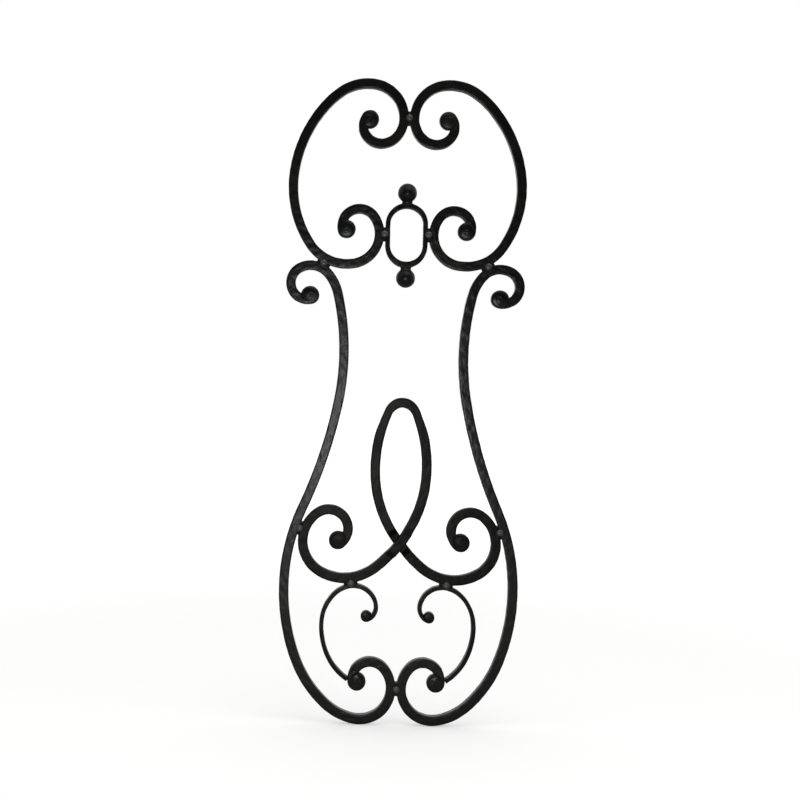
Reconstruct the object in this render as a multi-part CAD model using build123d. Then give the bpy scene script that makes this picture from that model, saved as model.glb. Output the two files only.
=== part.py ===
from build123d import *
from collections import namedtuple
from math import acos, atan2, cos, degrees, hypot, radians, sin, sqrt
import os

# Forged scroll panel, an open frame of bent square bar for a railing or a wall.
# X runs to the right seen from the front, Z is up and the front faces -Y.
# The flat backs of the bars lie in the plane Y = 0, and the origin is on the back
# of the lowest joint, in the middle of the panel. All lengths are millimetres.

# Stock
BAR = 12.0            # side of the square bar of the large scrolls
STRIP = 6.0           # thickness of the flat bar, as deep as the square bar
BEVEL = 0.8           # worn edge along the front and the back of each bar
BEVEL_FREE = 0.01     # no worn edge this close to the middle plane, where halves meet
UPRIGHT = 0.01        # a face whose normal leans less than this out of the plane is a wall
BALL_DIAMETER = 25.0  # balls above and below the oval link
NECK_DIAMETER = 11.3  # stub that carries each ball
NECK_LENGTH = 4.0     # free length of the stub between the link and the ball
NECK_FILLET = 1.5     # hollow round the stub where it meets the ball

# Places along the middle line, measured up from the lowest joint
OVAL_CENTRE_HEIGHT = 586.0
TOP_JOINT_ABOVE_OVAL = 150.0
LOOP_APEX_HEIGHT = 367.0

# Oval link
OVAL_WIDTH = 55.0
OVAL_HEIGHT = 82.0

# Joints: a weld fills the narrow gap, and a domed stud sits over it on the front
WELD_GAP = 1.5        # the narrowest place between two bars that meet
WELD_HEIGHT = 18.0    # length of the weld along the joint
WELD_RECESS = 1.0     # the weld lies this far behind the front faces
STUD_DIAMETER = 10.0
STUD_HEIGHT = 3.5
TIP_CLEARANCE = 0.3   # the small scrolls' tips stop this short of the lower scrolls

# Rolled ends
EYE_RADIUS = 12.0        # the square bar is folded back on itself
SMALL_EYE_RADIUS = 7.5   # the flat bar's end is upset before it is rolled
DOME_RISE = 2.0          # how far a rolled end swells out of the bar's faces
SMALL_DOME_RISE = 1.0
DOME_RIM = 1.0           # flat rim left around the swelling, inside the bevel

# Bending schedule: (centre-line radius, turn in degrees) of each bend in order,
# starting at the joint that the stretch is named for.
UPPER_TOP_JOINT_TO_EYE = [(37, 35), (28, 44), (24, 73), (21, 63)]
UPPER_TOP_JOINT_TO_FLANK = [(44, 82), (60, 44), (115, 13)]
UPPER_OVAL_JOINT_TO_FLANK = [(39, 80), (57, 66)]
UPPER_OVAL_JOINT_TO_EYE = [(39, 35), (23, 157)]
SHOULDER_TURN = 117      # turn from the oval joint to the shoulder joint
SIDE_SHOULDER_TO_EYE = [(29, 56), (22, 163)]
SIDE_SHOULDER_TO_WAIST = [(32, 23), (60, 26)]
SIDE_BOTTOM_JOINT_TO_BELLY = [(40, 101), (76, 30), (148, 28), (255, 45)]
SIDE_BOTTOM_JOINT_TO_EYE = [(40, 42), (23, 148)]
LOBE_TURN = 198          # turn from the bottom joint up to the joint with the ribbon
LOBE_JOINT_TO_EYE = [(44, 37), (25, 175)]
LOBE_JOINT_TO_CROSSING = [(45, 78), (62, 51), (74, 20)]
RIBBON_APEX_TO_LOOP = [(22, 69), (190, 25)]
SMALL_TURN = 116         # turn from the lobe's joint to the small scroll's joint
SMALL_JOINT_TO_EYE = [(29, 90), (17, 76)]
SMALL_JOINT_TO_FLANK = [(36, 35), (55, 44)]
TIP_TURN = 180           # turn from the bottom joint to the place that the tip meets
TIP_HEADING = -33        # direction in which the tip arrives, degrees

# Crossing of the ribbon: one strand steps forward and the other one back
CROSSING_CLEARANCE = 0.3
CROSSING_FLAT = 12.0  # half length of the level stretch over the other strand
CROSSING_RAMP = 10.0  # length of each ramp beside it
CROSSING_RADIUS = 12.0
CROSSING_REACH = 30.0  # half length of the stretch that is set forward or back

Pose = namedtuple("Pose", "x z heading")
Bend = namedtuple("Bend", "start radius turn")


def moved(pose, distance, bearing):
    """The pose shifted by a distance towards a bearing, in degrees from its heading."""
    angle = radians(pose.heading + bearing)
    return Pose(pose.x + distance * cos(angle), pose.z + distance * sin(angle), pose.heading)


def reverse(pose):
    return Pose(pose.x, pose.z, pose.heading + 180)


def after(bend, turn=None):
    """The pose reached after the given turn of a bend, or after the whole of it."""
    turn = bend.turn if turn is None else turn
    side = 90 if bend.turn > 0 else -90
    centre = moved(bend.start, bend.radius, side)
    there = moved(Pose(centre.x, centre.z, bend.start.heading + turn), bend.radius, -side)
    return Pose(there.x, there.z, bend.start.heading + turn)


def run_bends(start, schedule, hand):
    """Tangent bends one after the other; hand is 1 to the left and -1 to the right."""
    bends = []
    for radius, turn in schedule:
        bends.append(Bend(start, radius, hand * turn))
        start = after(bends[-1])
    return bends


def turned_back(bends):
    return [Bend(reverse(after(b)), b.radius, -b.turn) for b in reversed(bends)]


def pose_at(bends, turn):
    """The pose on a run of bends where it has turned by the given amount."""
    for bend in bends:
        if turn <= abs(bend.turn):
            return after(bend, turn if bend.turn > 0 else -turn)
        turn -= abs(bend.turn)
    return after(bends[-1])


def bend_to(start, x, z):
    """The one bend that leaves a pose along its heading and ends at a point."""
    chord = hypot(x - start.x, z - start.z)
    half_turn = degrees(atan2(z - start.z, x - start.x)) - start.heading
    half_turn = (half_turn + 180) % 360 - 180
    return Bend(start, chord / 2 / abs(sin(radians(half_turn))), 2 * half_turn)


def linked(bends, there):
    """A run of bends, and two tangent bends that carry it on to another pose."""
    here = after(bends[-1])
    a, b = radians(here.heading), radians(there.heading)
    vx, vz = there.x - here.x, there.z - here.z
    along = vx * (cos(a) + cos(b)) + vz * (sin(a) + sin(b))
    spread = 2 - 2 * cos(a - b)
    reach = (sqrt(along**2 + spread * (vx**2 + vz**2)) - along) / spread
    middle_x = (here.x + there.x + reach * (cos(a) - cos(b))) / 2
    middle_z = (here.z + there.z + reach * (sin(a) - sin(b))) / 2
    first = bend_to(here, middle_x, middle_z)
    return bends + [first, bend_to(after(first), there.x, there.z)]


def edge_of(bend, offset, start=0.0, stop=None):
    """The bend's arc at an offset to the left of its centre line, between two turns."""
    stop = bend.turn if stop is None else stop
    turns = (start, (start + stop) / 2, stop)
    points = [moved(after(bend, turn), offset, 90) for turn in turns]
    return ThreePointArc(*[(p.x, p.z) for p in points])


def eye_centre(bends, width, eye_radius):
    """Middle of the rolled end: its rim touches the bar's outer edge from inside."""
    last = bends[-1]
    return moved(after(last), eye_radius - width / 2, 90 if last.turn > 0 else -90)


def notch_turn(bends, width, eye_radius):
    """Turn, counted back from the bar's end, at which the rim of the rolled end meets
    the bar's inner edge."""
    inner = bends[-1].radius - width / 2
    reach = bends[-1].radius - (eye_radius - width / 2)
    return degrees(acos((inner**2 + reach**2 - eye_radius**2) / (2 * inner * reach)))


def rolled_rim(bends, width, eye_radius):
    """The rim of a rolled end, from the bar's outer edge round to the notch."""
    last = bends[-1]
    hand = 1 if last.turn > 0 else -1
    eye = eye_centre(bends, width, eye_radius)
    stop = last.turn - hand * notch_turn(bends, width, eye_radius)
    notch = moved(after(last, stop), width / 2, hand * 90)
    bearing = degrees(atan2(notch.z - eye.z, notch.x - eye.x)) - eye.heading
    sweep = (hand * bearing + 90) % 360
    rim = [moved(eye, eye_radius, hand * (share * sweep - 90)) for share in (0, 0.5, 1)]
    return ThreePointArc(*[(p.x, p.z) for p in rim])


def bar_outline(bends, width, eye_radius, rolled_start=True, rolled_stop=True):
    """Closed outline of a bar round its centre line. Each end is rolled or cut square."""
    back = turned_back(bends)
    edges = []
    for hand in (1, -1):
        for place, bend in enumerate(bends):
            start, stop = 0.0, bend.turn
            inner = bend.turn * hand > 0
            if inner and rolled_start and place == 0:
                start = hand * notch_turn(back, width, eye_radius)
            if inner and rolled_stop and place == len(bends) - 1:
                stop -= hand * notch_turn(bends, width, eye_radius)
            edges.append(edge_of(bend, hand * width / 2, start, stop))
    for run, rolled in ((back, rolled_start), (bends, rolled_stop)):
        if rolled:
            edges.append(rolled_rim(run, width, eye_radius))
        else:
            corners = [moved(after(run[-1]), width / 2, side) for side in (90, -90)]
            edges.append(Line(*[(c.x, c.z) for c in corners]))
    return make_face(edges)


def plate(face, depth=BAR):
    """A face drawn as X and Z, as a plate between the planes Y = -depth and Y = 0."""
    return Plane.XZ * extrude(face, depth)


def runs_along(edge):
    """Whether a wall's edge runs along the bar, rather than upright across its depth."""
    aside = max(abs(vertex.X) for vertex in edge.vertices())
    start, stop = edge.start_point(), edge.end_point()
    return aside > BEVEL_FREE and hypot(stop.X - start.X, stop.Z - start.Z) > BEVEL


def bevelled(bar):
    """A bar with worn edges all along its walls, apart from a cut in the middle plane."""
    walls = bar.faces().filter_by(lambda face: abs(face.normal_at().Y) < UPRIGHT)
    return chamfer(walls.edges().filter_by(runs_along), BEVEL)


def cap(x, z, base, rise):
    """Spherical cap that stands on the front faces of the bars."""
    radius = (base**2 + rise**2) / 2 / rise
    ball = Pos(x, radius - BAR - rise, z) * Sphere(radius)
    front = Pos(x, -BAR - radius, z) * Box(*[2 * radius] * 3)
    return ball & front


def with_swollen_ends(bar, ends, width, eye_radius, rise):
    """A bar whose rolled ends swell out of its front and its back."""
    for run in ends:
        eye = eye_centre(run, width, eye_radius)
        front = cap(eye.x, eye.z, eye_radius - BEVEL - DOME_RIM, rise)
        bar += front + mirror(front, Plane.XZ.offset(BAR / 2))
    return bar


def mirrored(shape):
    return mirror(shape, Plane.YZ)


def joint_weld(pose, outlines):
    """Weld in the gap between two pieces, set along the joint's direction. It has the
    shape of the gap, and it is ground flush at the back."""
    seam = Pos(pose.x, pose.z) * Rot(0, 0, pose.heading) * Rectangle(WELD_HEIGHT, BAR)
    for outline in outlines:
        seam -= outline
    middle = Vector(pose.x, pose.z)
    seam = min(seam.faces(), key=lambda face: (face.center() - middle).length)
    return plate(seam, BAR - WELD_RECESS)


def middle_crossing(bends):
    """The pose where a centre line crosses the middle plane of the panel."""
    bend = next(b for b in bends if b.start.x > 0 > after(b).x)
    low, high = 0.0, bend.turn
    for _ in range(50):
        turn = (low + high) / 2
        if after(bend, turn).x > 0:
            low = turn
        else:
            high = turn
    return after(bend, turn)


def set_over(outline, pose, step):
    """A strand that steps out of the panel's plane round a pose and back again."""
    place = Pos(pose.x, -BAR / 2, pose.z) * Rot(0, -pose.heading, 0)
    foot = CROSSING_FLAT + CROSSING_RAMP
    far = 2 * CROSSING_REACH
    corners = [(-far, 0), (-foot, 0), (-CROSSING_FLAT, step)]
    corners += [(-u, v) for u, v in reversed(corners)]
    path = FilletPolyline(*corners, radius=CROSSING_RADIUS)
    level = place * extrude(make_face(offset(path, BAR / 2, side=Side.BOTH)), BAR, both=True)
    stretch = place * Box(2 * CROSSING_REACH, 4 * BAR, 2 * BAR)
    deep = Pos(0, 2 * BAR, 0) * plate(outline, 5 * BAR)
    return (plate(outline) - stretch) + (deep & level & stretch)


# Centre lines of the left half
half = BAR / 2
top_joint_height = OVAL_CENTRE_HEIGHT + TOP_JOINT_ABOVE_OVAL
upper_top_joint = Pose(-half - WELD_GAP / 2, top_joint_height, 90)
upper_oval_joint = Pose(-OVAL_WIDTH / 2 - WELD_GAP - half, OVAL_CENTRE_HEIGHT, 90)
upper_flank = run_bends(reverse(upper_oval_joint), UPPER_OVAL_JOINT_TO_FLANK, -1)
upper_path = turned_back(run_bends(reverse(upper_top_joint), UPPER_TOP_JOINT_TO_EYE, -1))
upper_path += linked(
    run_bends(upper_top_joint, UPPER_TOP_JOINT_TO_FLANK, 1),
    reverse(after(upper_flank[-1])),
)
upper_path += turned_back(upper_flank)
upper_path += run_bends(upper_oval_joint, UPPER_OVAL_JOINT_TO_EYE, 1)

upper_shoulder = pose_at(upper_flank, SHOULDER_TURN)
side_shoulder = moved(upper_shoulder, BAR + WELD_GAP, 90)
side_bottom_joint = Pose(-half - WELD_GAP / 2, 0, 90)
side_belly = run_bends(reverse(side_bottom_joint), SIDE_BOTTOM_JOINT_TO_BELLY, -1)
side_lower_end = run_bends(side_bottom_joint, SIDE_BOTTOM_JOINT_TO_EYE, 1)
side_path = turned_back(run_bends(side_shoulder, SIDE_SHOULDER_TO_EYE, 1))
side_path += linked(
    run_bends(reverse(side_shoulder), SIDE_SHOULDER_TO_WAIST, -1),
    reverse(after(side_belly[-1])),
)
side_path += turned_back(side_belly) + side_lower_end

side_lobe_joint = pose_at(side_belly, LOBE_TURN)
lobe_joint = moved(side_lobe_joint, BAR + WELD_GAP, -90)
lobe_bottom = run_bends(reverse(lobe_joint), LOBE_JOINT_TO_CROSSING, 1)
ribbon_path = linked(
    run_bends(Pose(0, LOOP_APEX_HEIGHT, 0), RIBBON_APEX_TO_LOOP, -1),
    reverse(after(lobe_bottom[-1])),
)
ribbon_path += turned_back(lobe_bottom) + run_bends(lobe_joint, LOBE_JOINT_TO_EYE, -1)
crossing = middle_crossing(ribbon_path)

lobe_small_joint = pose_at(lobe_bottom, SMALL_TURN)
small_joint = moved(lobe_small_joint, half + WELD_GAP + STRIP / 2, -90)
small_tip = moved(pose_at(side_lower_end, TIP_TURN), half, -90)
small_path = turned_back(run_bends(small_joint, SMALL_JOINT_TO_EYE, -1))
small_path += linked(
    run_bends(reverse(small_joint), SMALL_JOINT_TO_FLANK, 1),
    small_tip._replace(heading=TIP_HEADING),
)

# Scroll bars
upper_outline = bar_outline(upper_path, BAR, EYE_RADIUS)
upper_ends = (upper_path, turned_back(upper_path))
upper_left = bevelled(
    with_swollen_ends(plate(upper_outline), upper_ends, BAR, EYE_RADIUS, DOME_RISE)
)
side_outline = bar_outline(side_path, BAR, EYE_RADIUS)
side_ends = (side_path, turned_back(side_path))
side_left = bevelled(
    with_swollen_ends(plate(side_outline), side_ends, BAR, EYE_RADIUS, DOME_RISE)
)
small_outline = bar_outline(small_path, STRIP, SMALL_EYE_RADIUS, rolled_stop=False)
tip_stop = side_lower_end[-1]
tip_stop_centre = moved(tip_stop.start, tip_stop.radius, 90)
small_outline -= Pos(tip_stop_centre.x, tip_stop_centre.z) * Circle(
    tip_stop.radius + half + TIP_CLEARANCE
)
small_ends = (turned_back(small_path),)
small_left = bevelled(
    with_swollen_ends(
        plate(small_outline), small_ends, STRIP, SMALL_EYE_RADIUS, SMALL_DOME_RISE
    )
)

# Ribbon: one bar that crosses itself below the loop, with a lobe on each side
ribbon_outline = bar_outline(ribbon_path, BAR, EYE_RADIUS, rolled_start=False)
strand_step = (BAR + CROSSING_CLEARANCE) / 2


def strand(step):
    """The ribbon's left half, set forward or back at the crossing."""
    bar = set_over(ribbon_outline, crossing, step)
    return bevelled(with_swollen_ends(bar, (ribbon_path,), BAR, EYE_RADIUS, DOME_RISE))


ribbon = strand(-strand_step) + mirrored(strand(strand_step))

# Oval link with a ball above and below it
link_outline = Pos(0, OVAL_CENTRE_HEIGHT) * SlotOverall(OVAL_HEIGHT, OVAL_WIDTH, rotation=90)
link_hole = SlotOverall(OVAL_HEIGHT - 2 * STRIP, OVAL_WIDTH - 2 * STRIP, rotation=90)
oval = bevelled(plate(link_outline - Pos(0, OVAL_CENTRE_HEIGHT) * link_hole))


def ball_on_stub(side):
    """A ball on a short stub above or below the link, fitted to the link's rim."""
    rim = OVAL_CENTRE_HEIGHT + side * OVAL_HEIGHT / 2
    ball_height = rim + side * (NECK_LENGTH + BALL_DIAMETER / 2)
    ball = Pos(0, -BAR / 2, ball_height) * Sphere(BALL_DIAMETER / 2)
    stub_length = abs(ball_height - rim) + STRIP
    stub_middle = ball_height - side * stub_length / 2
    stub = Pos(0, -BAR / 2, stub_middle) * Cylinder(NECK_DIAMETER / 2, stub_length)
    rims = (ball + stub).edges().filter_by(lambda edge: edge.is_closed)
    throat = rims.sort_by_distance(ball.center())[0]
    return fillet(throat, NECK_FILLET) - link_core


link_core = Pos(0, BAR, 0) * plate(link_outline, 3 * BAR)

left = {
    "upper_scroll": upper_left,
    "side_scroll": side_left,
    "small_scroll": small_left,
}
nodes = {"ribbon_loop": ribbon, "oval_link": oval}
nodes["top_ball"] = ball_on_stub(1)
nodes["bottom_ball"] = ball_on_stub(-1)

# Joints: the pose in the middle of the gap, and the outlines that meet there
half_gap = half + WELD_GAP / 2
middle_joints = {
    "top": (Pose(0, top_joint_height, 90), upper_outline, mirrored(upper_outline)),
    "bottom": (Pose(0, 0, 90), side_outline, mirrored(side_outline)),
}
left_joints = {
    "oval": (moved(upper_oval_joint, half_gap, -90), upper_outline, link_outline),
    "shoulder": (moved(upper_shoulder, half_gap, 90), upper_outline, side_outline),
    "lobe": (moved(side_lobe_joint, half_gap, -90), side_outline, ribbon_outline),
    "small": (moved(lobe_small_joint, half_gap, -90), ribbon_outline, small_outline),
}
for name, (pose, *outlines) in middle_joints.items():
    nodes[f"{name}_weld"] = joint_weld(pose, outlines)
    nodes[f"{name}_stud"] = cap(pose.x, pose.z, STUD_DIAMETER / 2, STUD_HEIGHT)
for name, (pose, *outlines) in left_joints.items():
    left[f"{name}_weld"] = joint_weld(pose, outlines)
    left[f"{name}_stud"] = cap(pose.x, pose.z, STUD_DIAMETER / 2, STUD_HEIGHT)

for name, shape in left.items():
    nodes[f"{name}_left"] = shape
    nodes[f"{name}_right"] = mirrored(shape)

os.makedirs("parts", exist_ok=True)
for name, shape in nodes.items():
    export_step(shape, f"parts/{name}.step")
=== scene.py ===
# %% [markdown]
# # A forged scroll panel
# The real panel is bent from black square bar, with two small scrolls and an oval link of
# flat bar. It was rolled, hammered and welded by hand, so no surface is quite flat.
# The CAD model gives the exact outline. This lesson dresses it: each bar is carried along
# its own centre line again, this time with worn corners, hammer marks and rolled ends.
# Shapes are worked out in millimetres and become metres when their mesh is made.

import bpy
import numpy as np
from mathutils import Matrix, Vector


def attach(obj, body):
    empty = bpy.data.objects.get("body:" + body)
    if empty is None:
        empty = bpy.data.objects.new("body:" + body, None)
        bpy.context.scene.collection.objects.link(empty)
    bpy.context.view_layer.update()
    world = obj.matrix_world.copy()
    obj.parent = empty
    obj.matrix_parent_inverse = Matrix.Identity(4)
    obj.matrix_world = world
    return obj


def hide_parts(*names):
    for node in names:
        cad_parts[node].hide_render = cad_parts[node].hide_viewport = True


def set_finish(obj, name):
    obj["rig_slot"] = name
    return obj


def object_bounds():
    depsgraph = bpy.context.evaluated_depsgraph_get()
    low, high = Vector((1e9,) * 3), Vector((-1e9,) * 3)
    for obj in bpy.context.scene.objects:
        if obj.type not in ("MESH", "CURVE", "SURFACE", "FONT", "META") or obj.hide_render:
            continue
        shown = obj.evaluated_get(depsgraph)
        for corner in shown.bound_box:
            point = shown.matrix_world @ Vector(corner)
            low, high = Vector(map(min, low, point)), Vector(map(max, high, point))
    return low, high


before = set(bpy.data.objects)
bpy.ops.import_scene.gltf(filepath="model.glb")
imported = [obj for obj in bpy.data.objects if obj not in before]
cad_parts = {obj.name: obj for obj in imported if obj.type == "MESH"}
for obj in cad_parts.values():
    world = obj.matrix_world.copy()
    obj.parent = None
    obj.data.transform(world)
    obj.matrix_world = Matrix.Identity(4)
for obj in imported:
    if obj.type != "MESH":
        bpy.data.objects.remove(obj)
cad_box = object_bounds()
MM = 0.001
print(len(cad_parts), "nodes, box", [tuple(np.round(corner, 4)) for corner in cad_box])

# %% [markdown]
# ## Camera
# The photograph shows a little of each bar's inner side, and that tells where it was taken:
# 1.67 m in front of the panel, a hand's breadth to the left of its middle. A shifted lens
# keeps the camera square to the panel, and a small roll leans the panel's top to the right.

# %% Make the camera
FRONT = -12 * MM
CAMERA_DISTANCE = 1.667
CAMERA_X, CAMERA_Z = -0.084, 0.4173
CAMERA_ROLL = np.radians(1.363)
camera_data = bpy.data.cameras.new("camera")
camera_data.sensor_width = 36
camera_data.lens = 58.3
camera_data.shift_x = 0.0770
camera_data.shift_y = -0.0450
camera = bpy.data.objects.new("camera", camera_data)
bpy.context.scene.collection.objects.link(camera)
roll_cos, roll_sin = np.cos(CAMERA_ROLL), np.sin(CAMERA_ROLL)
camera.matrix_world = Matrix(
    (
        (roll_cos, -roll_sin, 0, CAMERA_X),
        (0, 0, -1, FRONT - CAMERA_DISTANCE),
        (roll_sin, roll_cos, 0, CAMERA_Z),
        (0, 0, 0, 1),
    )
)
bpy.context.scene.camera = camera
bpy.context.scene.view_settings.view_transform = "Standard"
print("camera at", tuple(round(v, 3) for v in camera.matrix_world.translation))

# %% [markdown]
# ## Centre lines
# A smith bends a scroll as a row of arcs, each one tangent to the next. A list of radii and
# turns is therefore all that a bar needs, and numpy works out every point of an arc at once.

# %% Arcs to points
STEP = 1.4


def bend_line(start, bends):
    """Points and headings along tangent arcs. From a heading h, an arc of radius r that has
    turned by t to the left has moved by r (sin(h+t) - sin h) in x and by
    -r (cos(h+t) - cos h) in z, and to the right with both signs changed."""
    x, z, heading = start[0], start[1], np.radians(start[2])
    xs, zs, headings = [[x]], [[z]], [[heading]]
    for radius, degrees in bends:
        turn = np.radians(degrees)
        count = int(np.ceil(radius * abs(turn) / STEP))
        t = heading + turn * np.arange(1, count + 1) / count
        reach = radius * np.sign(turn)
        xs.append(x + reach * (np.sin(t) - np.sin(heading)))
        zs.append(z - reach * (np.cos(t) - np.cos(heading)))
        headings.append(t)
        x, z, heading = xs[-1][-1], zs[-1][-1], t[-1]
    points = np.stack([np.concatenate(xs), np.concatenate(zs)], axis=1)
    return points, np.concatenate(headings)


# %% Bends of the left half
# A start is x, z and a heading, and a bend is a radius and a turn to the left in degrees.
UPPER_START = (-55.465, 737.548, 235)
UPPER_BENDS = [(21, 63), (24, 73), (28, 44), (37, 35), (44, 82), (60, 44), (115, 13)]
UPPER_BENDS += [(163.783, 34.095), (134.665, 40.905), (57, 66), (39, 80), (39, 35), (23, 157)]
SIDE_START = (-121.117, 499.674, 192)
SIDE_BENDS = [(22, -163), (29, -56), (32, -23), (60, -26), (327.825, -24.781)]
SIDE_BENDS += [(621.565, -13.219), (255, 45), (148, 28), (76, 30), (40, 101), (40, 42), (23, 148)]
RIBBON_START = (0, 367, 0)
RIBBON_BENDS = [(22, -69), (190, -25), (148.782, -25.117), (189.101, -19.883), (74, -20)]
RIBBON_BENDS += [(62, -51), (45, -78), (44, -37), (25, -175)]
SMALL_START = (-38.757, 88.863, 22)
SMALL_BENDS = [(17, 76), (29, 90), (36, 35), (55, 44), (91.243, 26.921), (73.543, 33.079)]
print(
    "bar lengths in mm:",
    [
        round(sum(r * abs(np.radians(t)) for r, t in bends))
        for bends in (UPPER_BENDS, SIDE_BENDS, RIBBON_BENDS, SMALL_BENDS)
    ],
)

# %% [markdown]
# ## Rolled ends
# Each bar ends in a snub: its tip was drawn out thin and rolled up into a lump two bars
# wide. The lump could be a sphere, but then the groove of the roll would be missing. Here
# the bar's inner edge leaves its arc at the notch and spirals to the middle of the lump,
# while its outer edge runs round the rim and then follows the same spiral one turn behind.

# %% Roll up the end of a bar
ROLL_SWEEP = np.radians(410)
ROLL_POWER = 1.8
ROLL_STEP = np.radians(5)
LEAD_POINTS = 20


def rolled_edges(points, headings, radius, hand, width, eye):
    """Inner and outer edge of a bar whose far end is rolled to a lump of radius eye, with
    the lump's middle and the places in the edges where the roll starts and has closed.
    About that middle, the groove lies at eye (1 - q)^1.8, where q goes from 0 at the notch
    to 1 at the end of the roll."""
    inward = hand * np.stack([-np.sin(headings), np.cos(headings)], axis=1)
    inner, outer = points + inward * width / 2, points - inward * width / 2
    offset = eye - width / 2
    middle = points[-1] + inward[-1] * offset
    bend_centre = points[-1] + inward[-1] * radius
    inside, apart = radius - width / 2, radius - offset
    notch = np.arccos((inside**2 + apart**2 - eye**2) / (2 * inside * apart))
    notch_seen = np.pi - np.arccos((eye**2 + apart**2 - inside**2) / (2 * eye * apart))
    rim_side = np.arctan2(-inward[-1, 1], -inward[-1, 0])

    def around(centre, reach, turn):
        angle = rim_side + hand * turn
        return centre + np.stack([reach * np.cos(angle), reach * np.sin(angle)], axis=1)

    def groove(turn):
        share = np.clip((turn + notch_seen) / ROLL_SWEEP, 0, 1)
        return around(middle, eye * (1 - share) ** ROLL_POWER, turn)

    kept = len(points) - int(np.ceil(notch * radius / STEP))
    lead = np.linspace(-notch, 0, LEAD_POINTS)
    stop = ROLL_SWEEP - notch_seen + 2 * np.pi
    rim = np.arange(ROLL_STEP, 2 * np.pi - notch_seen, ROLL_STEP)
    tail = np.arange(rim[-1] + ROLL_STEP, stop - ROLL_STEP, ROLL_STEP)
    inner = np.concatenate(
        [inner[:kept], groove(lead / notch * notch_seen), groove(rim), groove(tail)]
    )
    outer = np.concatenate(
        [
            outer[:kept],
            around(bend_centre, radius + width / 2, lead),
            around(middle, eye, rim),
            groove(tail - 2 * np.pi),
        ]
    )
    return inner, outer, middle, kept, kept + len(lead) + len(rim)


print("a roll turns by", round(np.degrees(ROLL_SWEEP)), "degrees")

# %% [markdown]
# ## The bar's skin
# A profile carried along the path makes the bar. The profile is a squared circle: with a
# high power it is a square whose corners are just worn, and with a low one it is a cushion.
# So one number turns the crisp bar into the soft lump of its rolled end. The points of a
# ring crowd towards its four corners, where the surface bends most.

# %% Profile and hammer marks
RING = 48
CORNER_PULL = 0.16
WAVES = 14
ring_turn = np.arange(RING) * 2 * np.pi / RING
ring_turn = ring_turn + CORNER_PULL * np.sin(4 * ring_turn)


def squared_circle(powers):
    """Across, depth and power of a unit profile at each of the ring's angles a: the ray at
    that angle is as long as (|cos a|^p + |sin a|^p)^(-1/p). The left and the right half of
    each profile have a power p of their own."""
    c, d = np.cos(ring_turn), np.sin(ring_turn)
    power = np.where(c > 0, powers[:, 1:], powers[:, :1])
    reach = (np.abs(c) ** power + np.abs(d) ** power) ** (-1 / power)
    return reach * c, reach * d, power


def smooth_rise(values):
    """0 below 0, 1 above 1 and 3v^2 - 2v^3 between them."""
    values = np.clip(values, 0, 1)
    return values**2 * (3 - 2 * values)


def ripple(places, wavelength, seed):
    """Smooth unevenness between 0 and 1: the sum of 14 cosines in random directions, each
    with 0.6 to 1.5 waves to the wavelength, brought to a mean of 0.5."""
    random = np.random.default_rng(seed)
    waves = random.normal(size=(WAVES, 3))
    waves /= np.linalg.norm(waves, axis=1, keepdims=True)
    waves *= random.uniform(0.6, 1.5, (WAVES, 1)) / np.asarray(wavelength)
    phases = random.uniform(0, 2 * np.pi, WAVES)
    total = np.cos(2 * np.pi * (places @ waves.T) + phases).sum(axis=-1)
    return np.clip(0.5 + total / np.sqrt(WAVES) / 3, 0, 1)


print("ring of", RING, "points")

# %% [markdown]
# ## From rings to a mesh
# Two attributes go with each point, for the materials. The first, place, is where the point
# lies along, across and through its own bar, so that streaks can follow every bend. The
# second, edge, is 1 on a bar's corners and 0 on its sides, and tells where wear shows.

# %% Mesh from rings
def skin(name, rings, place, edge=None, closed=False):
    """A mesh through rings of points, an array of ring by point by xyz in millimetres. Each
    ring is joined to the next, and fans about a middle point close the two ends."""
    count, size, _ = rings.shape
    vertices = rings.reshape(-1, 3)
    row = np.arange(count if closed else count - 1)[:, None]
    column = np.arange(size)[None, :]
    here, there = row * size, (row + 1) % count * size
    after = (column + 1) % size
    quads = np.stack([here + column, here + after, there + after, there + column], axis=-1)
    faces = [tuple(q) for q in quads.reshape(-1, 4).tolist()]
    if not closed:
        first, last = count * size, count * size + 1
        vertices = np.concatenate([vertices, [rings[0].mean(axis=0), rings[-1].mean(axis=0)]])
        base = (count - 1) * size
        for i in range(size):
            j = (i + 1) % size
            faces.append((first, j, i))
            faces.append((last, base + i, base + j))
    mesh = bpy.data.meshes.new(name)
    mesh.from_pydata((vertices * MM).tolist(), [], faces)
    corners = vertices[quads.reshape(-1, 4)]
    volume = np.einsum(
        "ij,ij->i", corners[:, 0], np.cross(corners[:, 1] - corners[:, 3], corners[:, 2])
    ).sum()
    if volume < 0:
        mesh.flip_normals()
    mesh.polygons.foreach_set("use_smooth", np.ones(len(mesh.polygons), dtype=bool))
    edge = np.zeros((count, size)) if edge is None else edge
    layers = [("place", "FLOAT_VECTOR", "vector", place * MM), ("edge", "FLOAT", "value", edge)]
    for label, kind, field, values in layers:
        flat = values.reshape(count * size, -1)
        if not closed:
            flat = np.concatenate([flat, flat[:1], flat[-1:]])
        layer = mesh.attributes.new(label, kind, "POINT")
        layer.data.foreach_set(field, flat.astype(np.float32).ravel())
    mesh.update()
    piece = bpy.data.objects.new(name, mesh)
    bpy.context.scene.collection.objects.link(piece)
    return piece


print("rings become quads, with place and edge at each point")

# %% [markdown]
# ## A bar between two edges
# Each ring reaches from the bar's left edge to its right one, and a little beyond where the
# bar has its full width, because hammering spreads a bar. The dome of a rolled end depends
# only on the distance from the middle of the lump, so it fades along the bar by itself.
# Dents are pressed in along the profile's own normal.

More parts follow.
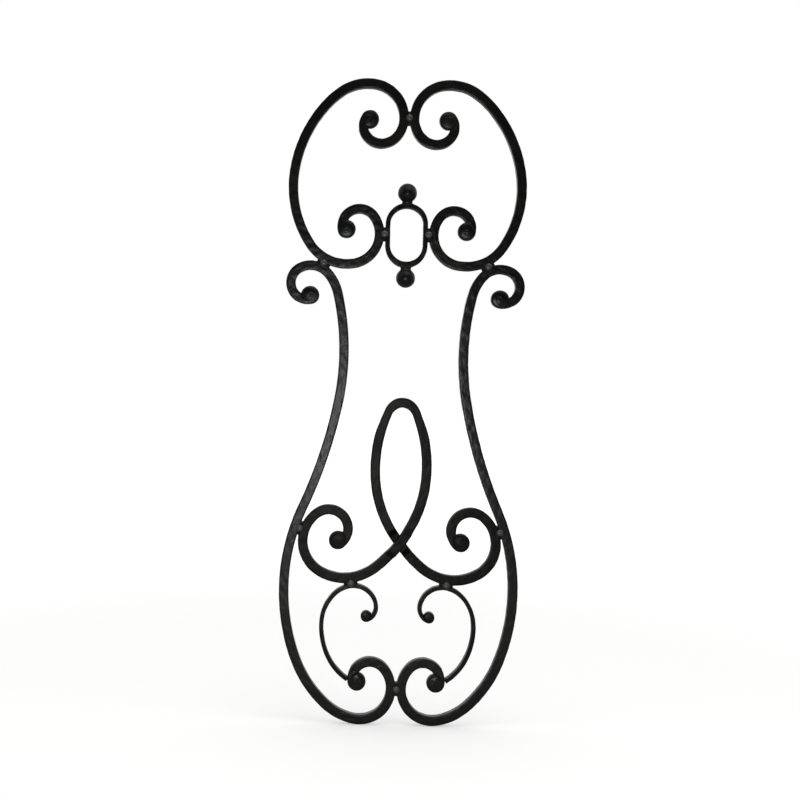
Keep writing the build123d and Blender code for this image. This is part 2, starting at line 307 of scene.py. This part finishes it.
# %% Bar from its two edges
BAR, STRIP, BAR_DEPTH = 12.0, 6.0, 12.0
DENT = 0.28
BROAD_DENTS, FINE_DENTS = (14, 8, 8), (4, 3, 3)
ROLL_GAP = 0.03
DRAWN_OUT = 10.5
LUMP_SPREAD = 1.25
SHORTEST_STEP = 0.2
BOX_MARGIN = 0.02
LOWEST = np.array(cad_box[0]) / MM + BOX_MARGIN
HIGHEST = np.array(cad_box[1]) / MM - BOX_MARGIN


def run_length(line):
    """The distance along a line to each of its points."""
    steps = np.linalg.norm(np.diff(line, axis=0), axis=1)
    return np.concatenate([[0], np.cumsum(steps)])


def forged_bar(
    name, left, right, lumps, softness, seed, forward=0.0, closed=False, swell=0.0
):
    """A bar between two edges. Across, its profile reaches from one edge to the other, and
    swell beyond each where the bar isn't drawn out. In depth it is 12 mm thick, plus a dome
    of rise (1 - (d/reach)^2)^2 at a distance d from the middle of each rolled end. No dent
    or bulge leaves the CAD model's box."""
    across_way = right - left
    breadth = np.linalg.norm(across_way, axis=1)
    across_way = across_way / np.maximum(breadth, 1e-6)[:, None]
    middle = (left + right) / 2
    gap = np.minimum(ROLL_GAP, breadth / 4)
    fuller = swell * smooth_rise((breadth - DRAWN_OUT) / (BAR - DRAWN_OUT))
    half_width = (breadth / 2 - gap + fuller)[:, None]
    c, d, power = squared_circle(softness)
    flat = middle[:, None, :] + (half_width * c)[..., None] * across_way[:, None, :]
    half_depth = np.full(c.shape, BAR_DEPTH / 2)
    for centre, eye, rise in lumps:
        share = np.linalg.norm(flat - centre, axis=-1) / (LUMP_SPREAD * eye)
        half_depth += rise * np.clip(1 - share**2, 0, 1) ** 2
    along = run_length(middle)[:, None] * np.ones_like(c)
    forward = np.reshape(forward, (-1, 1)) * np.ones_like(c)
    slope = np.gradient(forward[:, 0]) / np.maximum(np.gradient(along[:, 0]), SHORTEST_STEP)
    half_depth = half_depth * np.sqrt(1 + slope**2)[:, None]
    place = np.stack([along, half_width * c, d * half_depth], axis=-1)
    out_c = np.sign(c) * np.abs(c) ** (power - 1)
    out_d = np.sign(d) * np.abs(d) ** (power - 1)
    length = np.hypot(out_c, out_d)
    dents = ripple(place, BROAD_DENTS, seed) * DENT
    dents = dents + ripple(place, FINE_DENTS, seed + 1) * DENT / 4
    dents = np.minimum(dents, half_width / 3)
    flat = flat - (dents * out_c / length)[..., None] * across_way[:, None, :]
    depth = -BAR_DEPTH / 2 - forward - d * half_depth + dents * out_d / length
    rings = np.stack([flat[..., 0], depth, flat[..., 1]], axis=-1)
    rings = np.clip(rings, LOWEST, HIGHEST)
    return skin(name, rings, place, 4 * np.abs(c * d) ** power, closed)


print("bar", BAR, "mm, strip", STRIP, "mm")

# %% [markdown]
# ## Both ends of a scroll
# A bar's start is rolled like its end: the bar is turned round, its far end is rolled, and
# it is turned round again. The two halves then meet in the middle of the bar. Each piece is
# tied to the CAD node that it stands for, and takes a slot, which names its finish.

# %% Whole scroll
EYE, EYE_RISE = 12.0, 1.4
SMALL_EYE, SMALL_RISE = 7.5, 0.8
CRISP, SOFT = 10.0, 3.6
SOFTEN_EARLY, SOFTEN_RINGS = 8, 26
HARDEN_EARLY, HARDEN_RINGS = 2, 8


def softening(count, notch, closed):
    """Profile powers along a bar's inner and outer edge. The outer one is soft where it is
    the rim of the roll, from the notch until the roll has closed, and crisp elsewhere."""
    place = np.arange(count)
    soft = smooth_rise((place - notch + SOFTEN_EARLY) / SOFTEN_RINGS)
    hard = smooth_rise((place - closed + HARDEN_EARLY) / HARDEN_RINGS)
    share = soft * (1 - hard)
    return np.stack([np.full(count, CRISP), CRISP + (SOFT - CRISP) * share], axis=1)


def scroll(start, bends, width, eye, rolled_start):
    """Left and right edges of a bar, its lumps' middles and its profile powers. The start is
    rolled by turning the bar round, rolling its far end, and turning it round again."""
    points, headings = bend_line(start, bends)
    half = len(points) // 2
    sides = {}
    ends = []
    runs = [(points, headings, bends[-1], False)]
    runs.append((points[::-1], headings[::-1] + np.pi, (bends[0][0], -bends[0][1]), True))
    for line, ways, (radius, turn), turned in runs:
        hand = 1 if turn > 0 else -1
        if turned and not rolled_start:
            normal = np.stack([-np.sin(ways), np.cos(ways)], axis=1)
            left, right = line + normal * width / 2, line - normal * width / 2
            power = np.full((len(line), 2), CRISP)
        else:
            inner, outer, middle, notch, closed = rolled_edges(
                line, ways, radius, hand, width, eye
            )
            left, right = (inner, outer) if hand > 0 else (outer, inner)
            power = softening(len(inner), notch, closed)[:, ::hand]
            ends.append(middle)
        if turned:
            cut = len(line) - half
            left, right, power = right, left, power[:, ::-1]
            sides["start"] = (left[cut:][::-1], right[cut:][::-1], power[cut:][::-1])
        else:
            sides["stop"] = (left[half:], right[half:], power[half:])
    left, right, power = [
        np.concatenate([a, b]) for a, b in zip(sides["start"], sides["stop"])
    ]
    return left, right, ends, power


def mirrored(left, right, ends, power):
    """The same bar on the other side of the panel's middle."""
    flip = np.array([-1, 1])
    return right * flip, left * flip, [end * flip for end in ends], power[:, ::-1]


def dress(piece, node, slot):
    """The piece stands for a CAD node, rides on the panel and takes a slot's finish."""
    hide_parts(node)
    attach(piece, "root")
    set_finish(piece, slot)
    return piece


print("eyes of", EYE, "and", SMALL_EYE, "mm radius")

# %% [markdown]
# ## Round pieces
# Balls, studs and the cores of the rolled ends are surfaces of revolution. A core fills a
# rolled end from inside, so that light can't fall deep into the groove: the real roll was
# hammered shut.

# %% Surface of revolution
ROUND_BROAD, ROUND_FINE = 9, 3
SMALL_AROUND = 48


def turned_piece(name, radii, heights, middle, axis, seed, dent, around=72, flat=1.0):
    """A surface of revolution: each ring has the profile's radius at its height along the
    axis, and flat times as much in depth. Shallow dents, at most as deep as given, are
    pressed into it."""
    turn = np.arange(around) * 2 * np.pi / around
    axis = np.array(axis, dtype=float)
    side = np.array([1.0, 0, 0])
    other = np.cross(axis, side)
    spoke = np.cos(turn)[:, None] * side
    spoke = spoke + np.reshape(flat, (-1, 1, 1)) * np.sin(turn)[:, None] * other
    rings = np.array(middle) + heights[:, None, None] * axis + radii[:, None, None] * spoke
    depth = ripple(rings, ROUND_BROAD, seed) * dent
    depth = depth + ripple(rings, ROUND_FINE, seed + 1) * dent / 3
    rings = rings - (np.minimum(depth, radii[:, None] / 3))[..., None] * spoke
    return skin(name, rings, rings)


print("small round pieces have", SMALL_AROUND, "points around")

# %% Cores of the rolled ends
CORE_SHARE, CORE_SINK = 0.97, 0.35
CORE_STATIONS = 22
CORE_POWER = 8
CORE_DENT = 0.2
cores = {}


def fill_roll(node, number, middle, eye, rise):
    """The core of a rolled end, just under the turns of the roll, so that its groove stays
    shallow. At a distance r from the middle it is (6 + dome - 0.35)(1 - (r/R)^8)^(1/3) mm
    thick to each side, where R is 0.97 of the lump's radius."""
    share = np.sin(np.linspace(0.02, 1, CORE_STATIONS) * np.pi / 2)
    dome = rise * np.clip(1 - (CORE_SHARE * share / LUMP_SPREAD) ** 2, 0, 1) ** 2
    heights = (BAR_DEPTH / 2 + dome - CORE_SINK) * (1 - share**CORE_POWER) ** (1 / 3)
    radii = CORE_SHARE * eye * share
    core = turned_piece(
        f"core_{node}_{number}",
        np.concatenate([radii, radii[-2::-1]]),
        np.concatenate([heights, -heights[-2::-1]]),
        middle=(middle[0], -BAR_DEPTH / 2, middle[1]),
        axis=(0, -1, 0),
        seed=160 + number,
        dent=CORE_DENT,
        around=SMALL_AROUND,
    )
    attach(core, "root")
    return core


print("cores reach", CORE_SHARE, "of an eye's radius")

# %% [markdown]
# ## The scrolls
# Each scroll is worked out once, on the left, and mirrored. Every bar takes a random seed
# of its own, so the two sides get different dents.

# %% Build the large scrolls
SWELL = 0.35
bars = {}
for seed, (kind, start, bends) in enumerate(
    [("upper_scroll", UPPER_START, UPPER_BENDS), ("side_scroll", SIDE_START, SIDE_BENDS)]
):
    shape = scroll(start, bends, BAR, EYE, True)
    for twin, (side, sided) in enumerate([("left", shape), ("right", mirrored(*shape))]):
        left, right, ends, power = sided
        lumps = [(end, EYE, EYE_RISE) for end in ends]
        name = f"{kind}_{side}"
        piece = forged_bar(
            f"forged_{name}", left, right, lumps, power, 10 * seed + 5 * twin, swell=SWELL
        )
        bars[name] = dress(piece, name, "forged_bar")
        for number, end in enumerate(ends):
            cores[fill_roll(name, number, end, EYE, EYE_RISE)] = "forged_bar"
        print(name, len(piece.data.polygons), "faces")

# %% [markdown]
# ## The ribbon
# One bar makes both lobes and the tall loop. Where it meets itself, one strand was set
# forward and the other back by half a bar, and both return to the panel's plane beside it.
# The photograph shows the loop's top a little higher and narrower than a plain arc, so both
# edges are drawn in and up there by a smooth rise.

# %% Build the ribbon
CROSSING_STEP = 6.15
CROSSING_FLAT, CROSSING_FOOT = 12.0, 22.0
APEX_START, APEX_SPAN = 322.0, 45.0
APEX_LIFT, APEX_NARROWING = 2.4, 0.11
RIBBON_SWELL = 0.5
left, right, ends, power = scroll(RIBBON_START, RIBBON_BENDS, BAR, EYE, False)
m_left, m_right, m_ends, m_power = mirrored(left, right, ends, power)
for edge_line in (left, right, m_left, m_right):
    near_apex = smooth_rise((edge_line[:, 1] - APEX_START) / APEX_SPAN)
    edge_line[:, 0] *= 1 - APEX_NARROWING * near_apex
    edge_line[:, 1] += APEX_LIFT * near_apex
line = (left + right) / 2
run = run_length(line)
below = np.flatnonzero((line[:-1, 0] > 0) & (line[1:, 0] <= 0))[0]
ramp = (CROSSING_FOOT - np.abs(run - run[below])) / (CROSSING_FOOT - CROSSING_FLAT)
ramp = CROSSING_STEP * smooth_rise(ramp)
ribbon = forged_bar(
    "forged_ribbon_loop",
    np.concatenate([m_right[::-1], left[1:]]),
    np.concatenate([m_left[::-1], right[1:]]),
    lumps=[(end, EYE, EYE_RISE) for end in ends + m_ends],
    softness=np.concatenate([m_power[::-1, ::-1], power[1:]]),
    seed=40,
    forward=np.concatenate([-ramp[::-1], ramp[1:]]),
    swell=RIBBON_SWELL,
)
bars["ribbon_loop"] = dress(ribbon, "ribbon_loop", "forged_bar")
for number, end in enumerate(ends + m_ends):
    cores[fill_roll("ribbon_loop", number, end, EYE, EYE_RISE)] = "forged_bar"
print("crossing at", line[below].round(1), len(ribbon.data.polygons), "faces")

# %% Build the small scrolls
points, headings = bend_line(SMALL_START, SMALL_BENDS)
turned_bends = [(radius, -turn) for radius, turn in SMALL_BENDS[::-1]]
turned_start = (points[-1, 0], points[-1, 1], np.degrees(headings[-1]) + 180)
shape = scroll(turned_start, turned_bends, STRIP, SMALL_EYE, False)
for twin, (side, sided) in enumerate([("left", shape), ("right", mirrored(*shape))]):
    left, right, ends, power = sided
    name = f"small_scroll_{side}"
    lumps = [(end, SMALL_EYE, SMALL_RISE) for end in ends]
    piece = forged_bar(f"forged_{name}", left, right, lumps, power, 60 + 5 * twin)
    bars[name] = dress(piece, name, "flat_bar")
    cores[fill_roll(name, 0, ends[0], SMALL_EYE, SMALL_RISE)] = "flat_bar"
    print(name, len(piece.data.polygons), "faces")

# %% [markdown]
# ## The oval link and its balls
# The link is flat bar bent to a ring and welded shut, so its path has no ends. It was drawn
# a little thicker and lower at its two arcs. Each ball is turned about an upright axis. Its
# profile runs from the crown down to a waist, close on the link, and flares out again where
# the neck was welded on. The neck is flattened in depth to about the link's own.

# %% Build the oval link
OVAL_MIDDLE, OVAL_HALF_WIDTH, OVAL_STRAIGHT = 586.0, 27.5, 27.0
OVAL_REACH = OVAL_HALF_WIDTH - STRIP / 2
OVAL_SAG = 1.9
RING_FULLER, ARC_FULLER = 0.5, 0.9
ARC_POINTS, STRAIGHT_POINTS = 56, 20
arc = np.linspace(0, np.pi, ARC_POINTS)
straight = np.linspace(-0.5, 0.5, STRAIGHT_POINTS)[1:-1] * OVAL_STRAIGHT
half_ring = np.concatenate(
    [
        np.stack([np.full(straight.shape, 1.0), 0 * straight, straight], axis=1),
        np.stack([np.cos(arc), np.sin(arc), np.full(arc.shape, OVAL_STRAIGHT / 2)], axis=1),
    ]
)
ring_line = np.concatenate([half_ring, -half_ring])
outward, lift = ring_line[:, :2], ring_line[:, 2:]
centre_line = outward * OVAL_REACH + lift * np.array([0, 1]) + np.array([0, OVAL_MIDDLE])
upper = np.clip(outward[:, 1:], 0, 1) ** 2
lower = np.clip(-outward[:, 1:], 0, 1) ** 2
piece = forged_bar(
    "forged_oval_link",
    centre_line - outward * (STRIP / 2 + RING_FULLER + ARC_FULLER * upper),
    centre_line + outward * (STRIP / 2 + OVAL_SAG * lower),
    lumps=[],
    softness=np.full((len(centre_line), 2), CRISP),
    seed=80,
    closed=True,
)
bars["oval_link"] = dress(piece, "oval_link", "flat_bar")
print("oval_link", len(piece.data.polygons), "faces")

# %% Build the balls
BALL, BALL_LIFT, BALL_DENT = 12.5, 0.5, 0.22
BALL_STATIONS, FOOT_STATIONS = 60, 16
NECK_TURN = 2.52
NECK_PULL, FOOT_FLARE = 2.2, 3.8
NECK_FLATTENING, FLAT_FROM, FLAT_OVER = 0.22, 9, 5
FOOT_REACH = 3.0
OVAL_RIM = 41.0
turn = np.linspace(0.02, NECK_TURN, BALL_STATIONS)
foot = np.linspace(0, 1, FOOT_STATIONS)[1:]
foot_depth = BALL * np.cos(NECK_TURN) * (1 - foot) - (BALL + BALL_LIFT + FOOT_REACH) * foot
foot_radii = BALL * np.sin(NECK_TURN) - NECK_PULL * foot + FOOT_FLARE * foot**2
ball_radii = np.concatenate([BALL * np.sin(turn), foot_radii])
ball_heights = np.concatenate([BALL * np.cos(turn), foot_depth])
for side, node, rim in [
    (1, "top_ball", OVAL_MIDDLE + OVAL_RIM),
    (-1, "bottom_ball", OVAL_MIDDLE - OVAL_RIM - OVAL_SAG),
]:
    piece = turned_piece(
        f"forged_{node}",
        ball_radii,
        ball_heights,
        middle=(0, -BAR_DEPTH / 2, rim + side * (BALL_LIFT + BALL)),
        axis=(0, 0, side),
        seed=90 + side,
        dent=BALL_DENT,
        flat=1 - NECK_FLATTENING * smooth_rise((-ball_heights - FLAT_FROM) / FLAT_OVER),
    )
    bars[node] = dress(piece, node, "ball_steel")
    print(node, len(piece.data.polygons), "faces")

# %% [markdown]
# ## Joints
# Where two bars touch, the smith ran a weld up the gap and set a domed stud over it. The
# weld pulls up along both bars, so its ends are hollow, and its face shows the ripples of
# the moving pool. A stud was struck with a hammer, so its crown is a little flattened.

# %% Shape of a weld
WELD_HALF = 9.0
WELD_SIDE, WELD_FLARE = 1.65, 70
WELD_FRONT, WELD_BACK = 5.1, 5.6
POOL_HEIGHT, POOL_LENGTH = 0.28, 2.4
WELD_STATIONS, WELD_RING = 46, 40
WELD_CLIMB, WELD_DENT = 0.10, 0.25


def weld_rings(x, z, heading, seed):
    """A weld along a joint. At a distance v along the joint it is 1.65 + v^2/70 mm to each
    side of the middle, and its face rises and falls with 0.28 cos(2 pi v / 2.4) mm. Its
    stations crowd towards both ends, where it closes with (1 - t^14)^(1/2)."""
    t = np.linspace(-1, 1, WELD_STATIONS)
    v = WELD_HALF * np.sign(t) * (1 - (1 - np.abs(t)) ** 1.6)
    turn = np.arange(WELD_RING) * 2 * np.pi / WELD_RING
    closing = np.sqrt(np.clip(1 - np.abs(t) ** 14, 0, 1))[:, None]
    across = np.cos(turn)[None, :] * (WELD_SIDE + v[:, None] ** 2 / WELD_FLARE) * closing
    deep = np.sign(np.sin(turn)) * np.abs(np.sin(turn)) ** 0.6
    pool = POOL_HEIGHT * np.cos(2 * np.pi * v / POOL_LENGTH)[:, None]
    front = (WELD_FRONT + pool) * np.clip(deep, 0, 1) + WELD_BACK * np.clip(deep, -1, 0)
    front = front * closing
    climb = WELD_CLIMB * across**2 * np.sign(t)[:, None] * np.abs(t)[:, None] ** 6
    along = v[:, None] + climb
    h = np.radians(heading)
    xs = x + along * np.cos(h) - across * np.sin(h)
    zs = z + along * np.sin(h) + across * np.cos(h)
    rings = np.stack([xs, -BAR_DEPTH / 2 - front, zs], axis=-1)
    dents = ripple(rings, 3, seed) * WELD_DENT * np.clip(deep, 0, 1)
    return rings + dents[..., None] * np.array([0, 1.0, 0])


print("welds of", 2 * WELD_HALF, "mm")

# %% Build welds and studs
# Each joint's x, z and direction in degrees, on the left side or in the middle
JOINTS = {
    "top": (0, 736, 90),
    "bottom": (0, 0, 90),
    "oval": (-28.25, 586, 90),
    "shoulder": (-106.068, 546.925, 153),
    "lobe": (-128.851, 204.737, 72),
    "small": (-61.566, 135.386, 8),
}
STUD_REACH, STUD_RISE, STUD_SINK = 4.9, 3.4, 0.5
STUD_STATIONS, STUD_DENT = 26, 0.3
stud_turn = np.linspace(0.03, 1, STUD_STATIONS) * np.pi / 2
stud_radii = np.append(STUD_REACH * np.sin(stud_turn) ** 0.85, STUD_REACH)
stud_heights = np.append(STUD_RISE * np.cos(stud_turn) ** 0.9, -STUD_SINK)
for seed, (joint, (x, z, heading)) in enumerate(JOINTS.items()):
    places = [("", x, z, heading)]
    if x:
        places = [("_left", x, z, heading), ("_right", -x, z, 180 - heading)]
    for twin, (side, px, pz, way) in enumerate(places):
        rings = weld_rings(px, pz, way, 100 + 2 * seed + twin)
        node = f"{joint}_weld{side}"
        bars[node] = dress(skin(f"bead_{node}", rings, rings), node, "weld_metal")
        node = f"{joint}_stud{side}"
        stud = turned_piece(
            f"domed_{node}",
            stud_radii,
            stud_heights,
            middle=(px, -BAR_DEPTH, pz),
            axis=(0, -1, 0),
            seed=130 + 2 * seed + twin,
            dent=STUD_DENT,
            around=SMALL_AROUND,
        )
        bars[node] = dress(stud, node, "stud_steel")
print(len(bars), "pieces dressed")

# %% [markdown]
# ## Finishes
# Black wax over scale and hammered steel: almost black, with brown and olive clouds, fine
# streaks along each bar and pale rubbed corners. Everything comes from noise, so there are
# no pictures. A small class turns sums in Python into Math nodes, which keeps the recipe
# readable: worn = corner * cloud adds one node and its wires.

# %% Shader arithmetic
class Wire:
    """An output socket. Sums and products of wires and numbers add Math nodes."""

    def __init__(self, finish, socket):
        self.finish = finish
        self.socket = socket

    def maths(self, operation, *values):
        settings = {"operation": operation}
        return self.finish.add("ShaderNodeMath", settings, dict(enumerate(values)))

    def __add__(self, other):
        return self.maths("ADD", self, other)

    def __sub__(self, other):
        return self.maths("SUBTRACT", self, other)

    def __rsub__(self, other):
        return self.maths("SUBTRACT", other, self)

    def __mul__(self, other):
        return self.maths("MULTIPLY", self, other)

    __radd__ = __add__
    __rmul__ = __mul__


class Finish:
    """A node tree that is built by adding one node at a time."""

    def __init__(self, tree):
        self.tree = tree
        self.tree.nodes.clear()

    def add(self, kind, settings=(), inputs=(), output=0):
        """A node of a type, with its settings, then the values or wires of its sockets. The
        result is the wire of the output socket with that number."""
        node = self.tree.nodes.new(kind)
        for key, value in dict(settings).items():
            setattr(node, key, value)
        for key, value in dict(inputs).items():
            if isinstance(value, Wire):
                self.tree.links.new(value.socket, node.inputs[key])
            else:
                node.inputs[key].default_value = value
        return Wire(self, node.outputs[output]) if node.outputs else node

    def blend(self, share, first, second, way="MIX"):
        """A mix of two colours, each a wire or three numbers."""
        shades = [v if isinstance(v, Wire) else (*v, 1) for v in (first, second)]
        return self.add(
            "ShaderNodeMix",
            {"data_type": "RGBA", "blend_type": way},
            {0: share, 6: shades[0], 7: shades[1]},
            output=2,
        )

    def window(self, value, low, high):
        """0 below low, 1 above high and smooth between them."""
        return self.add(
            "ShaderNodeMapRange",
            {"interpolation_type": "SMOOTHSTEP"},
            {"Value": value, "From Min": low, "From Max": high},
        )

    def noise(self, where, scale, detail, rough=0.55):
        """Cloudy noise at a place. The scale is one number, or three to stretch it."""
        if isinstance(scale, tuple):
            settings = {"operation": "MULTIPLY"}
            where = self.add("ShaderNodeVectorMath", settings, {0: where, 1: scale})
            scale = 1.0
        return self.add(
            "ShaderNodeTexNoise",
            (),
            {"Vector": where, "Scale": scale, "Detail": detail, "Roughness": rough},
        )


print("finish helpers ready")

# %% [markdown]
# ## Blackened steel
# Colours are as light as the real surface reflects, and black wax reflects a few
# thousandths. The studs are the exception: their pale blue colour is a painted reflection of
# the room. Most of what the camera sees is sheen, so the roughness and the bumps do more
# for the look than the colour does. The ribbon and its cores are duller than the rest.

# %% Blackened steel
BLACK, GREY_BLACK = (0.001, 0.001, 0.001), (0.0034, 0.0032, 0.0029)
OLIVE_BROWN, BLUE_BLACK = (0.0085, 0.0072, 0.0045), (0.0034, 0.0042, 0.0045)
BARE_STEEL = (0.018, 0.017, 0.015)
STREAKS, HAMMER = (90.0, 900.0, 900.0), (110.0, 190.0, 190.0)
FOOT_LOW, FOOT_HIGH = 0.1, 0.5
BUMP_STRENGTH, BUMP_DISTANCE = 0.55, 0.0006


def blackened(name, roughness, gloss, warmth, patina_and_reflection, pale=1.0, streaks=False):
    """Near black steel. Warmth turns its clouds olive brown, most of all near the foot of
    the panel, the blue share turns others blue, and streaks stretches a fine noise along the
    bar. On the bars the blue is the steel's own blue-black oxide. On the studs, full blue and a
    colour made five times paler are a painted reflection of the room, not their own colour."""
    material = bpy.data.materials.new(name)
    material.use_nodes = True
    finish = Finish(material.node_tree)
    place = finish.add("ShaderNodeAttribute", {"attribute_name": "place"}, output=1)
    corner = finish.add("ShaderNodeAttribute", {"attribute_name": "edge"}, output=2)
    space = finish.add("ShaderNodeTexCoord", output=3)

    cloud = finish.noise(space, 22.0, 4.0)
    spots = finish.noise(space, 160.0, 4.0, 0.65)
    grain = finish.noise(place, STREAKS, 4.0, 0.6) if streaks else spots
    hammer = finish.noise(place, HAMMER, 2.0, 0.5)
    pits = finish.add("ShaderNodeTexVoronoi", (), {"Vector": space, "Scale": 700.0})
    pits = finish.window(pits, 0.0, 0.35)
    upward = finish.add("ShaderNodeSeparateXYZ", (), {0: space}, output=2)
    foot = 1 - finish.window(upward, FOOT_LOW, FOOT_HIGH)
    brown = finish.window(cloud + foot * 0.12, 0.48, 0.68) * warmth
    # Blue clouds: the steel's own tint on the bars, a painted reflection of the room on the
    # studs.
    blue = finish.window(finish.noise(space, 13.0, 3.0), 0.5, 0.7) * patina_and_reflection
    rubbed = finish.window(corner * (0.35 + spots * 1.3), 0.45, 0.95)

    colour = finish.blend(grain, BLACK, GREY_BLACK)
    colour = finish.blend(brown, colour, OLIVE_BROWN)
    colour = finish.blend(blue, colour, BLUE_BLACK)
    colour = finish.blend(rubbed * 0.4, colour, BARE_STEEL)
    # Pale lightens the whole colour; on the studs it is a painted reflection of the room.
    if pale != 1:
        colour = finish.blend(1.0, colour, (pale, pale, pale), "MULTIPLY")
    rough = (roughness - 0.06) + grain * 0.05 + spots * 0.07 - rubbed * 0.04
    height = hammer * 0.8 + grain * 0.07 + spots * 0.09 + pits * 0.05
    bump = finish.add(
        "ShaderNodeBump",
        (),
        {"Strength": BUMP_STRENGTH, "Distance": BUMP_DISTANCE, "Height": height},
    )
    sockets = {"Base Color": colour, "Roughness": rough, "Normal": bump}
    shader = finish.add(
        "ShaderNodeBsdfPrincipled", (), {**sockets, "Specular IOR Level": gloss}
    )
    finish.add("ShaderNodeOutputMaterial", (), {"Surface": shader})
    return material


print("bumps of", BUMP_DISTANCE / MM, "mm")

# %% Give each piece its finish
finishes = {
    "forged_bar": blackened(
        "blackened_square_bar", 0.29, gloss=0.18, warmth=0.75, patina_and_reflection=0.8, streaks=True
    ),
    "flat_bar": blackened(
        "blackened_flat_bar", 0.32, gloss=0.11, warmth=0.6, patina_and_reflection=0.5, streaks=True
    ),
    "ball_steel": blackened("browned_ball", 0.31, gloss=0.16, warmth=1.0, patina_and_reflection=0.2),
    "weld_metal": blackened(
        "blackened_weld", 0.36, gloss=0.25, warmth=1.0, patina_and_reflection=0.4, pale=1.4
    ),
    # The studs' pale blue colour is a painted reflection of the room on their domes, over their
    # real gloss.
    "stud_steel": blackened(
        "polished_stud_painted_reflection", 0.42, gloss=0.8, warmth=0.0, patina_and_reflection=1.0, pale=5.0
    ),
}
dull_bar = blackened(
    "dull_ribbon_bar", 0.38, gloss=0.08, warmth=0.9, patina_and_reflection=0.6, streaks=True
)
for node, piece in bars.items():
    finish = dull_bar if node == "ribbon_loop" else finishes[piece["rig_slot"]]
    piece.data.materials.append(finish)
for core, slot in cores.items():
    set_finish(core, slot)
    core.data.materials.append(dull_bar if "ribbon" in core.name else finishes[slot])
print(len(finishes), "finishes")

# %% [markdown]
# ## Light and room
# The sheen on the left side bar is a mirror image of the light: it sits halfway between the
# camera and the lamp, so the lamp hung just below the camera. A large, weak lamp overhead
# and the room fill the rest. The room is pale at the sides and behind the panel and dark
# behind the camera, as a studio is. Light Path nodes keep the backdrop white for the camera
# and for what it sees mirrored, and the floor glows for the camera alone and so keeps its
# shadow.

# %% Lamps
def lamp(name, place, aim, size, power, shade):
    """A square area lamp at a place, turned towards a point."""
    data = bpy.data.lights.new(name, "AREA")
    data.size, data.energy, data.color = size, power, shade
    holder = bpy.data.objects.new(name, data)
    bpy.context.scene.collection.objects.link(holder)
    holder.location = place
    way = Vector(aim) - Vector(place)
    holder.rotation_euler = way.to_track_quat("-Z", "Y").to_euler()


lamp(
    "window_lamp",
    place=(-0.11, -1.72, 0.25),
    aim=(-0.05, 0, 0.37),
    size=0.27,
    power=7.2,
    shade=(0.97, 1.0, 1.0),
)
lamp(
    "overhead_lamp",
    place=(0.3, -0.9, 2.0),
    aim=(0, 0, 0.4),
    size=1.6,
    power=12.0,
    shade=(1.0, 0.99, 0.97),
)
print(len(bpy.data.lights), "lamps")

# %% World
# Output sockets of a Light Path node
CAMERA_RAY, GLOSSY_RAY, TRANSMISSION_RAY = 0, 3, 6
DARK_SIDE = 0.014
world = bpy.data.worlds.new("pale_room")
world.use_nodes = True
bpy.context.scene.world = world
room = Finish(world.node_tree)
ray = "ShaderNodeLightPath"
away = room.add("ShaderNodeSeparateXYZ", (), {0: room.add("ShaderNodeTexCoord")}, output=1)
in_mirror = room.add(ray, output=GLOSSY_RAY) + room.add(ray, output=TRANSMISSION_RAY)
backdrop = room.add(ray, output=CAMERA_RAY) + in_mirror * room.window(away, 0.2, 0.6)
dome = DARK_SIDE + room.window(away, -0.75, -0.35)
level = backdrop + (1 - backdrop) * dome
background = room.add("ShaderNodeBackground", (), {"Color": (1, 1, 1, 1), "Strength": level})
room.add("ShaderNodeOutputWorld", (), {"Surface": background})
print(len(world.node_tree.nodes), "nodes in the world")

# %% Floor
FLOOR_REACH, FLOOR_DROP = 12.0, 0.0005
GLOW_NEAR, GLOW_GAIN = 0.48, 0.3
FADE_FROM, FADE_TO = 0.6, 2.5
ground = cad_box[0][2] - FLOOR_DROP
square = np.array([(-1, -1), (1, -1), (1, 1), (-1, 1)]) * FLOOR_REACH
floor_mesh = bpy.data.meshes.new("floor")
floor_mesh.from_pydata([(x, y, ground) for x, y in square.tolist()], [], [(0, 1, 2, 3)])
floor = bpy.data.objects.new("floor", floor_mesh)
bpy.context.scene.collection.objects.link(floor)
floor_finish = bpy.data.materials.new("pale_floor")
floor_finish.use_nodes = True
cover = Finish(floor_finish.node_tree)
mottle = cover.add("ShaderNodeTexNoise", (), {"Scale": 3.0, "Detail": 4.0})
base = cover.blend(mottle, (0.46, 0.46, 0.46), (0.5, 0.5, 0.49))
spot = cover.add("ShaderNodeTexCoord", output=3)
distance = cover.add("ShaderNodeVectorMath", {"operation": "LENGTH"}, {0: spot}, output=1)
fade = cover.window(distance, FADE_FROM, FADE_TO)
share = cover.add(ray, output=CAMERA_RAY) * (GLOW_NEAR + GLOW_GAIN * fade)
glow = cover.blend(share, (0.0, 0.0, 0.0), (1.0, 1.0, 1.0))
surface = cover.add(
    "ShaderNodeBsdfPrincipled",
    (),
    {"Base Color": base, "Roughness": 0.8, "Emission Color": glow, "Emission Strength": 1.0},
)
cover.add("ShaderNodeOutputMaterial", (), {"Surface": surface})
floor_mesh.materials.append(floor_finish)
print("floor at", round(ground, 4))
